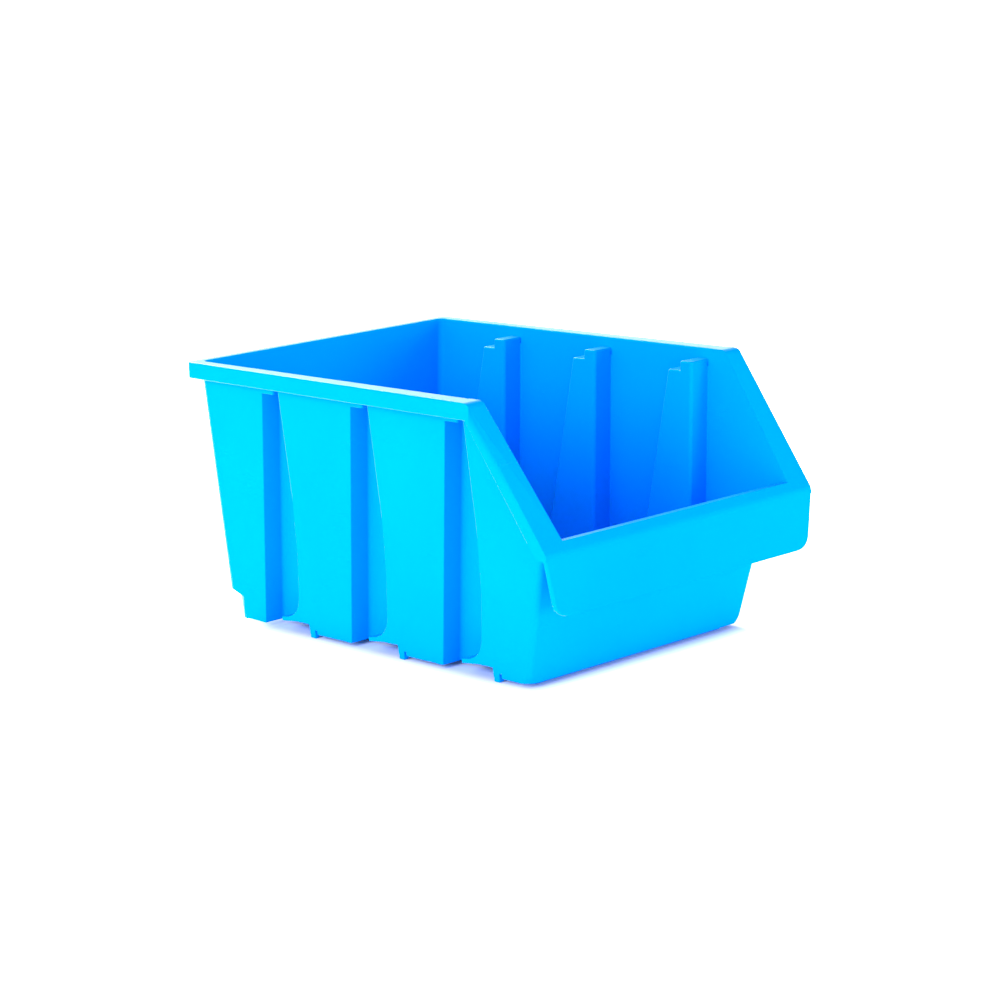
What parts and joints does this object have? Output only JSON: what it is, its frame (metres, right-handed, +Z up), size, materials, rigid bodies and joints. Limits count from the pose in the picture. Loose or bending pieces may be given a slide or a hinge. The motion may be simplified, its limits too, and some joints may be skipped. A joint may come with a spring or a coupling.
{
  "type": "stackable storage bin",
  "caption": "Stackable open-fronted storage bin with a sloped front edge, hanging front apron, tapered walls, hollow stacking ribs and locating lugs under the base.",
  "frame": {"origin": "on the ground under the middle of the bin's outer box", "axes": "+X towards the bin's right side, +Y from the open front to the rear, +Z up"},
  "size_m": [0.17, 0.24, 0.126],
  "materials": {
    "blue_polypropylene": "satin"
  },
  "bodies": {
    "root": {"floor_panel": "blue_polypropylene", "foot_rim": "blue_polypropylene", "front_wall": "blue_polypropylene", "rear_wall": "blue_polypropylene", "left_wall_panel_rear": "blue_polypropylene", "left_wall_panel_mid_rear": "blue_polypropylene", "left_wall_panel_mid_front": "blue_polypropylene", "left_wall_panel_front": "blue_polypropylene", "right_wall_panel_rear": "blue_polypropylene", "right_wall_panel_mid_rear": "blue_polypropylene", "right_wall_panel_mid_front": "blue_polypropylene", "right_wall_panel_front": "blue_polypropylene", "left_rib_rear": "blue_polypropylene", "left_rib_middle": "blue_polypropylene", "left_rib_front": "blue_polypropylene", "right_rib_rear": "blue_polypropylene", "right_rib_middle": "blue_polypropylene", "right_rib_front": "blue_polypropylene", "left_top_rim": "blue_polypropylene", "right_top_rim": "blue_polypropylene", "rear_rim": "blue_polypropylene", "left_slope_rim": "blue_polypropylene", "right_slope_rim": "blue_polypropylene", "front_lip": "blue_polypropylene", "front_apron": "blue_polypropylene", "left_stacking_lugs": "blue_polypropylene", "right_stacking_lugs": "blue_polypropylene"}
  },
  "joints": []
}
